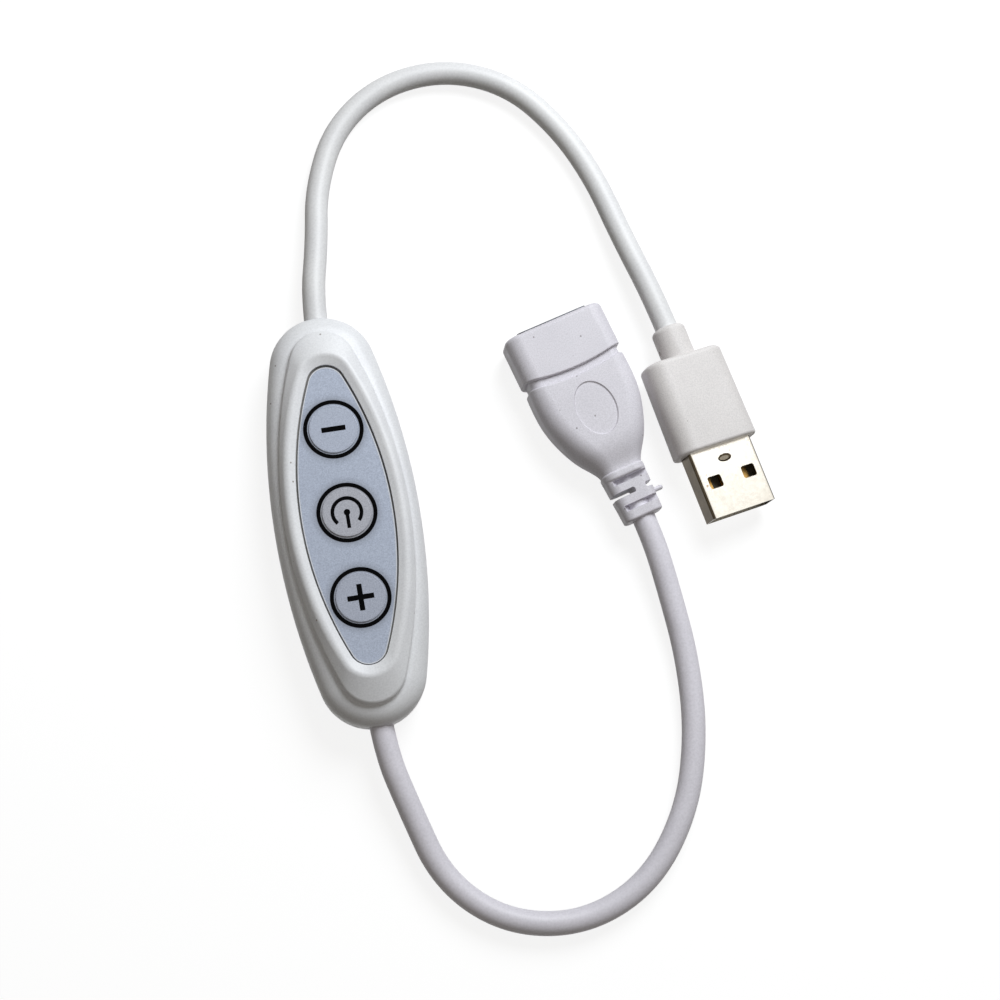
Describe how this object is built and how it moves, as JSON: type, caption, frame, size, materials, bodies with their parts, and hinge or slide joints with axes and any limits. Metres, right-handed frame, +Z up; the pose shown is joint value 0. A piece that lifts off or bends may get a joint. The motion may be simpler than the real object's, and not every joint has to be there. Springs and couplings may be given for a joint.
{
  "type": "usb inline dimmer switch",
  "caption": "Inline dimmer: a flat oval white housing with minus, power and plus keys, between a lead with a USB type A plug and a lead with a type A socket.",
  "frame": {"origin": "bottom centre of the housing, on the surface it lies on", "axes": "+Y along the housing from the plus key to the minus key and the plug lead, +Z up out of the keys, +X to the right when the minus key is at the top"},
  "size_m": [0.0849, 0.1543, 0.0121],
  "materials": {
    "housing_plastic": "satin white moulded plastic",
    "film": "grey printed film",
    "key_film": "grey embossed film",
    "plug_vinyl": "soft white vinyl",
    "socket_vinyl": "soft white vinyl",
    "cable_vinyl": "soft white vinyl",
    "shell_metal": "nickel plated",
    "contact_metal": "gold flashed",
    "insulator": "moulded",
    "board": "solder mask",
    "switch_plastic": "moulded",
    "switch_metal": "pressed sheet",
    "lead_metal": "tin plated",
    "chip_plastic": "moulded",
    "ceramic": "fired",
    "red_wire": "insulation",
    "black_wire": "insulation"
  },
  "bodies": {
    "dimmer": {"top_cover": "housing_plastic", "bottom_cover": "housing_plastic", "overlay_film": "film", "circuit_board": "board", "minus_switch_base": "switch_plastic", "minus_switch_cover": "switch_metal", "minus_switch_dome": "switch_metal", "minus_switch_terminals": "lead_metal", "power_switch_base": "switch_plastic", "power_switch_cover": "switch_metal", "power_switch_dome": "switch_metal", "power_switch_terminals": "lead_metal", "plus_switch_base": "switch_plastic", "plus_switch_cover": "switch_metal", "plus_switch_dome": "switch_metal", "plus_switch_terminals": "lead_metal", "controller_chip": "chip_plastic", "controller_leads": "lead_metal", "power_transistor": "chip_plastic", "transistor_leads": "lead_metal", "bypass_capacitor": "ceramic", "chip_resistors": "chip_plastic", "plug_overmould": "plug_vinyl", "plug_shell": "shell_metal", "plug_insulator": "insulator", "plug_supply_contact": "contact_metal", "plug_data_minus_contact": "contact_metal", "plug_data_plus_contact": "contact_metal", "plug_ground_contact": "contact_metal", "socket_overmould": "socket_vinyl", "socket_shell": "shell_metal", "socket_insulator": "insulator", "socket_supply_contact": "contact_metal", "socket_data_minus_contact": "contact_metal", "socket_data_plus_contact": "contact_metal", "socket_ground_contact": "contact_metal", "input_cable": "cable_vinyl", "output_cable": "cable_vinyl", "input_positive_wire": "red_wire", "input_negative_wire": "black_wire", "output_positive_wire": "red_wire", "output_negative_wire": "black_wire"},
    "minus_key_body": {"minus_key": "key_film", "minus_switch_plunger": "switch_plastic"},
    "power_key_body": {"power_key": "key_film", "power_switch_plunger": "switch_plastic"},
    "plus_key_body": {"plus_key": "key_film", "plus_switch_plunger": "switch_plastic"}
  },
  "joints": [
    {"name": "minus_key_press", "type": "slide", "parent": "dimmer", "child": "minus_key_body", "axis": [0, 0, -1], "range_m": [0, 0.00025], "stiffness_N_per_m": 4000, "deforming": ["minus_switch_dome"]},
    {"name": "power_key_press", "type": "slide", "parent": "dimmer", "child": "power_key_body", "axis": [0, 0, -1], "range_m": [0, 0.00025], "stiffness_N_per_m": 4000, "deforming": ["power_switch_dome"]},
    {"name": "plus_key_press", "type": "slide", "parent": "dimmer", "child": "plus_key_body", "axis": [0, 0, -1], "range_m": [0, 0.00025], "stiffness_N_per_m": 4000, "deforming": ["plus_switch_dome"]}
  ]
}
